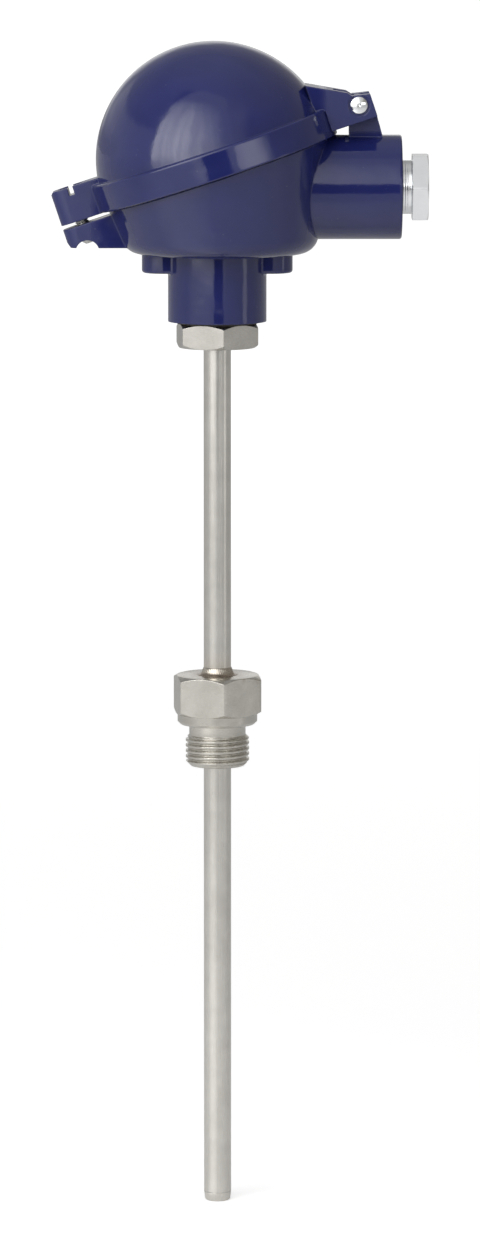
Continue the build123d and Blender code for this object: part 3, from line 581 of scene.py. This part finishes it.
def gland_screw():
    """Pressure screw: hexagon with its outer corners chamfered, grooved waist and fine thread."""
    corner = pi / 2
    angles = around(192, corner)
    edge = GLAND_EDGE

    def ring(radius, x):
        return [(x(a), radius(a) * sin(a), ENTRY_Z - radius(a) * cos(a)) for a in angles]

    def even(radius, x):
        return ring(lambda a: radius, lambda a: x)

    def side(a):
        return hex_radius(a, GLAND_FLAT_R, corner)

    def drop(a):
        return chamfer_drop(side(a), GLAND_FLAT_R, GLAND_DROP)

    def threaded(x):
        return lambda a: thread_radius(a, x, GLAND_THREAD_R, GLAND_THREAD_DEPTH, GLAND_PITCH)

    rings = [even(GLAND_HOLE_R, GLAND_START_X), even(GLAND_THREAD_R - edge, GLAND_START_X)]
    for x in spaced(GLAND_START_X + edge, ENTRY_FACE_X - 1.2 * MM, 90):
        rings.append(ring(threaded(x), lambda a: x))
    for x in spaced(ENTRY_FACE_X - 1.1 * MM, GLAND_HEX_X - 0.3 * MM, 44):
        groove = GLAND_GROOVE_DEPTH * (0.5 - 0.5 * cos(2 * pi * x / GLAND_GROOVE_PITCH))
        rings.append(even(GLAND_RELIEF_R - 0.02 * MM - groove, x))
    rings += [
        even(GLAND_RELIEF_R - 0.2 * MM, GLAND_HEX_X - 0.1 * MM),
        even(GLAND_FLAT_R, GLAND_HEX_X),
        ring(side, lambda a: GLAND_HEX_X),
        ring(side, lambda a: GLAND_END_X - drop(a)),
        even(GLAND_FLAT_R, GLAND_END_X),
        even(GLAND_HOLE_R + edge, GLAND_END_X),
        even(GLAND_HOLE_R, GLAND_END_X - edge),
    ]
    piece = piece_from("gland_screw_threaded", rings, "nickel", "head")
    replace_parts(shade(piece), "gland_screw")


def closing_screw():
    """Slotted screw with a fine thread and a tapered tip, made along the lid's axis."""

    def ring(radius, w):
        points = [(SCREW_U + radius(a) * cos(a), radius(a) * sin(a), w) for a in around(96)]
        return [LID_FRAME @ Vector(point) for point in points]

    def even(radius, w):
        return ring(lambda a: radius, w)

    def threaded(w):
        slope = (SCREW_SHANK_R - SCREW_TIP_R) / SCREW_TIP_H
        tip = SCREW_TIP_R + (w - SCREW_END_W) * slope
        return lambda a: min(thread_radius(a, w, SCREW_SHANK_R, SCREW_DEPTH, SCREW_PITCH), tip)

    rings = [
        even(0.3 * MM, SCREW_TOP_W),
        even(SCREW_HEAD_R - SCREW_EDGE, SCREW_TOP_W),
        even(SCREW_HEAD_R, SCREW_TOP_W - SCREW_EDGE),
        even(SCREW_HEAD_R, SCREW_HEAD_W),
        even(SCREW_SHANK_R, SCREW_HEAD_W),
    ]
    rings += [ring(threaded(w), w) for w in spaced(SCREW_HEAD_W - 0.3 * MM, SCREW_END_W, 170)]
    piece = piece_from(
        "closing_screw_threaded", rings, "zinc_steel", "closing_screw", closed=False
    )
    cut_slot(piece)
    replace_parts(shade(piece), "closing_screw")


def cut_slot(piece):
    """Cuts the driver slot across the head of the closing screw."""
    mesh = bmesh.new()
    bmesh.ops.create_cube(mesh, size=1)
    place = Matrix.Translation((SCREW_U, 0, SLOT_BOTTOM_W + CUTTER_HEIGHT / 2))
    size = Matrix.Diagonal((SLOT_W, CUTTER_LENGTH, CUTTER_HEIGHT, 1))
    bmesh.ops.transform(mesh, matrix=LID_FRAME @ place @ size, verts=mesh.verts)
    data = bpy.data.meshes.new("slot_cutter")
    mesh.to_mesh(data)
    mesh.free()
    cutter = bpy.data.objects.new("slot_cutter", data)
    bpy.context.scene.collection.objects.link(cutter)
    boolean = piece.modifiers.new("slot", "BOOLEAN")
    boolean.operation = "DIFFERENCE"
    boolean.object = cutter
    boolean.solver = "EXACT"
    bpy.context.view_layer.update()
    result = piece.evaluated_get(bpy.context.evaluated_depsgraph_get())
    cut = bpy.data.meshes.new_from_object(result)
    piece.modifiers.clear()
    piece.data = cut
    bpy.data.objects.remove(cutter)


def hinge_pin():
    """Pin with a domed, dimpled head in its seat and a groove for the clip."""
    place = LID_FRAME @ Vector((PIN_U, 0, PIN_W))

    def ring(radius, y):
        return [place + Vector((radius * cos(a), y, radius * sin(a))) for a in around(72)]

    profile = []
    for share in (0.05, 0.3, 0.55, 0.8, 1.0):
        depth = PIN_DIMPLE_DEPTH - PIN_DIMPLE_RISE * share ** 2
        profile.append((share * PIN_DIMPLE_R, PIN_HEAD_Y + depth))
    for radius in spaced(0.75 * MM, PIN_HEAD_R, 14):
        profile.append((radius, PIN_HEAD_Y + PIN_DOME * (radius / PIN_HEAD_R) ** 2))
    profile += [
        (PIN_HEAD_R, PIN_SEAT_Y - PIN_EDGE),
        (PIN_HEAD_R - PIN_EDGE, PIN_SEAT_Y),
        (PIN_R, PIN_SEAT_Y),
        (PIN_R, PIN_GROOVE_Y),
        (PIN_GROOVE_R, PIN_GROOVE_Y),
        (PIN_GROOVE_R, PIN_GROOVE_Y + PIN_GROOVE_W),
        (PIN_R, PIN_GROOVE_Y + PIN_GROOVE_W),
        (PIN_R, PIN_END_Y - PIN_END_CHAMFER),
        (PIN_R - PIN_END_CHAMFER, PIN_END_Y),
    ]
    rings = [ring(radius, y) for radius, y in profile]
    piece = piece_from("hinge_pin_domed", rings, "nickel", "lid", closed=False)
    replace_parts(shade(piece), "hinge_pin")


def insert_springs():
    """Two springs with closed ends."""
    steps = 40 * SPRING_TURNS
    length = SPRING_TOP - SPRING_BOTTOM - 2 * SPRING_WIRE_R
    up = Vector((0, 0, 1))
    for side, name in ((-1, "insert_spring_left"), (1, "insert_spring_right")):
        rings = []
        for i in range(steps + 1):
            share = i / steps
            angle = 2 * pi * SPRING_TURNS * share
            outward = Vector((cos(angle), sin(angle), 0))
            rise = SPRING_BOTTOM + SPRING_WIRE_R + length * spring_rise(share)
            centre = Vector((side * SPRING_X, 0, rise)) + SPRING_R * outward
            circle = [SPRING_WIRE_R * (outward * cos(b) + up * sin(b)) for b in around(10)]
            rings.append([centre + offset for offset in circle])
        piece = piece_from(name, rings, "zinc_steel", "head", closed=False)
        shade(piece, 60)
        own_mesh(piece)
        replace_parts(piece, "insert_springs")


def spring_rise(share):
    """Rise of a spring, from 0 to 1, whose first and last turns lie nearly flat."""
    flat, slope = SPRING_FLAT_SHARE, SPRING_FLAT_SLOPE
    if share < flat:
        return share * slope
    if share > 1 - flat:
        return 1 - (1 - share) * slope
    low = flat * slope
    return low + (share - flat) / (1 - 2 * flat) * (1 - 2 * low)


process_connection()
stem_weld()
gland_screw()
closing_screw()
hinge_pin()
insert_springs()


# Floor, light and camera


def card(name, corners, material, camera_sees=True):
    """Flat stage surface through the given corners."""
    data = bpy.data.meshes.new(name)
    data.from_pydata(corners, [], [tuple(range(len(corners)))])
    data.materials.append(material)
    piece = bpy.data.objects.new(name, data)
    bpy.context.scene.collection.objects.link(piece)
    piece.visible_camera = camera_sees
    return piece


def direction(azimuth, elevation, distance):
    """Place seen from the head: azimuth to the right of the camera, elevation upwards, degrees."""
    a, e = radians(azimuth), radians(elevation)
    return HEAD + distance * Vector((sin(a) * cos(e), -cos(a) * cos(e), sin(e)))


def hung_card(name, place, corners, material):
    """Upright card, turned to the stem, unseen by the camera; corners go sideways and upwards."""
    piece = card(name, [(x, z, 0) for x, z in reversed(corners)], material, camera_sees=False)
    front = Vector((-place[0], -place[1], 0)).normalized()
    up = Vector((0, 0, 1))
    turn = Matrix((front.cross(up), up, -front)).transposed().to_4x4()
    piece.matrix_world = Matrix.Translation(place) @ turn
    return piece


def oblong(left, right, low, high):
    """Corners of an upright oblong."""
    return ((left, low), (right, low), (right, high), (left, high))


def softbox(name, place, size, radiance):
    """Area lamp of a given radiance that faces the head."""
    data = bpy.data.lights.new(name, "AREA")
    data.shape = "RECTANGLE"
    data.size, data.size_y = size
    data.energy = radiance * pi * size[0] * size[1]
    lamp = bpy.data.objects.new(name, data)
    lamp.location = place
    lamp.rotation_euler = (HEAD - place).to_track_quat("-Z", "Y").to_euler()
    bpy.context.scene.collection.objects.link(lamp)


def cloth(name):
    """Black cloth that glows white."""
    n = new_material(name)
    n.set(Base_Color=BLACK, Specular_IOR_Level=0.0, Emission_Color=WHITE)
    return n


def glow_in_front(n, strength):
    """Makes the front of a cloth glow and leaves its back dark."""
    back = n.add("ShaderNodeNewGeometry").outputs["Backfacing"]
    n.use(n.times(strength, n.math("SUBTRACT", 1.0, back)), "Emission Strength")
    return n.owner


def key_cloth():
    """Key light: brightest low on its left, fading upwards and to the right, with folds."""
    n = cloth("key_cloth")
    x, y, _ = n.axes()
    glow = n.times(n.span(x, -0.08, 0.42, 1.0, 0.0), n.span(y, 0.26, 1.05, 1.0, 0.0))
    glow = n.times(glow, n.span(y, KEY_LOW, 0.06, 0.12, 1.0))
    folds = n.span(n.noise(1.0, 2, 0.5, n.stretched((16, 0.9, 1))), 0.32, 0.68, 0.66, 1.2)
    strength = n.math("ADD", 0.72, n.times(glow, folds, 3.4))
    arch = n.math("SUBTRACT", x, n.times(y, y, 0.1))
    left_edge = n.span(arch, KEY_LEFT, KEY_LEFT + 0.03, 0.3, 1.0)
    return glow_in_front(n, n.times(strength, left_edge))


def low_cloth():
    """Low light that fades to its sides, brighter on its left."""
    n = cloth("low_cloth")
    x, _, _ = n.axes()
    glow = n.times(n.span(x, -0.5, -0.12, 0.5, 1.0), n.span(x, 0.12, 0.5, 1.0, 0.15))
    return glow_in_front(n, n.times(glow, 2.4))


def dark_cloth():
    """Dark shape of the camera, nearly black in reflections."""
    n = cloth("camera_dark")
    n.set(Emission_Strength=DARK_LEVEL)
    return n.owner


def floor_white():
    """White floor that glows to the camera, and to reflections mostly at its front left."""
    n = new_material("floor_white")
    n.set(Roughness=0.9, Base_Color=(0.7, 0.7, 0.7, 1), Emission_Color=WHITE)
    x, y, _ = n.axes()
    away = n.distance(x, y)
    seen = n.span(away, 0.3, 2.0, 0.58, 0.80)
    ahead = n.math("ADD", n.times(x, FLOOR_FRONT_LEFT[0]), n.times(y, FLOOR_FRONT_LEFT[1]))
    towards = n.math("DIVIDE", ahead, n.math("MAXIMUM", away, 0.01))
    wide_pool = n.span(towards, -0.7, 0.7, 0.15, 0.32)
    pool = n.math("ADD", wide_pool, n.span(towards, 0.8, 0.98, 0.0, 0.3))
    path = n.add("ShaderNodeLightPath").outputs
    clear = n.math("MAXIMUM", path["Is Camera Ray"], path["Is Transmission Ray"])
    glow = n.math("ADD", n.times(clear, seen), n.times(path["Is Glossy Ray"], pool))
    n.use(glow, "Emission Strength")
    return n.owner


def surroundings():
    """White to the camera; in reflections a room with a darker back and a warmer right.

    The coordinates are parts of a direction: 1 is straight to the right, back or up.
    """
    world = bpy.data.worlds.new("surroundings")
    bpy.context.scene.world = world
    n = Nodes(world, "Background", "Generated")
    n.set(Color=WHITE)
    x, y, z = n.axes()
    ceiling = n.span(z, 0.8, 1.0, 0.36, 0.52)
    room = n.level(n.span(y, -0.25, -0.6), ceiling, 0.62)
    right_wall = n.span(z, 0.6, 0.95, 0.31, 0.5)
    room = n.level(n.span(x, 0.4, 0.55), room, right_wall)
    left_wall = n.times(n.span(x, -0.4, -0.5), n.span(z, 0.45, 0.40))
    room = n.level(left_wall, room, 0.66)
    back_wall = n.times(n.span(y, 0.3, 0.85), n.span(z, 0.22, 0.08))
    room = n.level(back_wall, room, 0.3)
    sweep = n.times(n.span(y, 0.88, 0.96), n.span(z, 0.02, 0.1))
    room = n.level(sweep, room, 0.95)
    path = n.add("ShaderNodeLightPath").outputs
    strength = n.level(path["Is Glossy Ray"], 0.4, room)
    clear = n.math("MAXIMUM", path["Is Camera Ray"], path["Is Transmission Ray"])
    n.use(n.level(clear, strength, 1.0), "Strength")
    warm = n.times(n.span(x, 0.1, 0.6), path["Is Glossy Ray"])
    n.use(n.mix(warm, (1.0, 1.0, 1.0), (1.0, 0.96, 0.89)), "Color")


def studio():
    """Pale floor, white surroundings, two glowing cloths, a small softbox and a dark camera."""
    floor_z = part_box("tube_tip")[0].z
    square = oblong(-FLOOR_REACH, FLOOR_REACH, -FLOOR_REACH, FLOOR_REACH)
    card("floor", [(x, y, floor_z) for x, y in square], floor_white())
    surroundings()
    key_shape = oblong(KEY_LEFT, KEY_RIGHT, KEY_LOW, KEY_HIGH)
    hung_card("key", direction(-23, 0, 0.6), key_shape, key_cloth())
    low_shape = oblong(-LOW_HALF_WIDTH, LOW_HALF_WIDTH, LOW_BOTTOM, LOW_TOP)
    hung_card("low", direction(34, 9.5, 1.3), low_shape, low_cloth())
    softbox("fill", direction(68, -3, 1.2), FILL_SIZE, FILL_RADIANCE)
    dark_shape = oblong(-DARK_HALF_WIDTH, DARK_HALF_WIDTH, DARK_BOTTOM, DARK_TOP)
    dark = hung_card("camera_dark", direction(3, 0, 0.5), dark_shape, dark_cloth())
    dark.visible_diffuse = False
    dark.visible_shadow = False
    dark.visible_transmission = False


def camera():
    """Camera in front, a little above the head and looking down at the stem."""
    data = bpy.data.cameras.new("camera")
    data.sensor_width = CAMERA_SENSOR
    data.lens = CAMERA_LENS
    data.shift_y = CAMERA_SHIFT
    data.clip_start, data.clip_end = 0.1, 100
    eye = bpy.data.objects.new("camera", data)
    eye.location = CAMERA_PLACE
    eye.rotation_euler = (radians(90) - CAMERA_PITCH, 0, 0)
    bpy.context.scene.collection.objects.link(eye)
    bpy.context.scene.camera = eye


studio()
camera()
bpy.context.scene.view_settings.view_transform = "Standard"
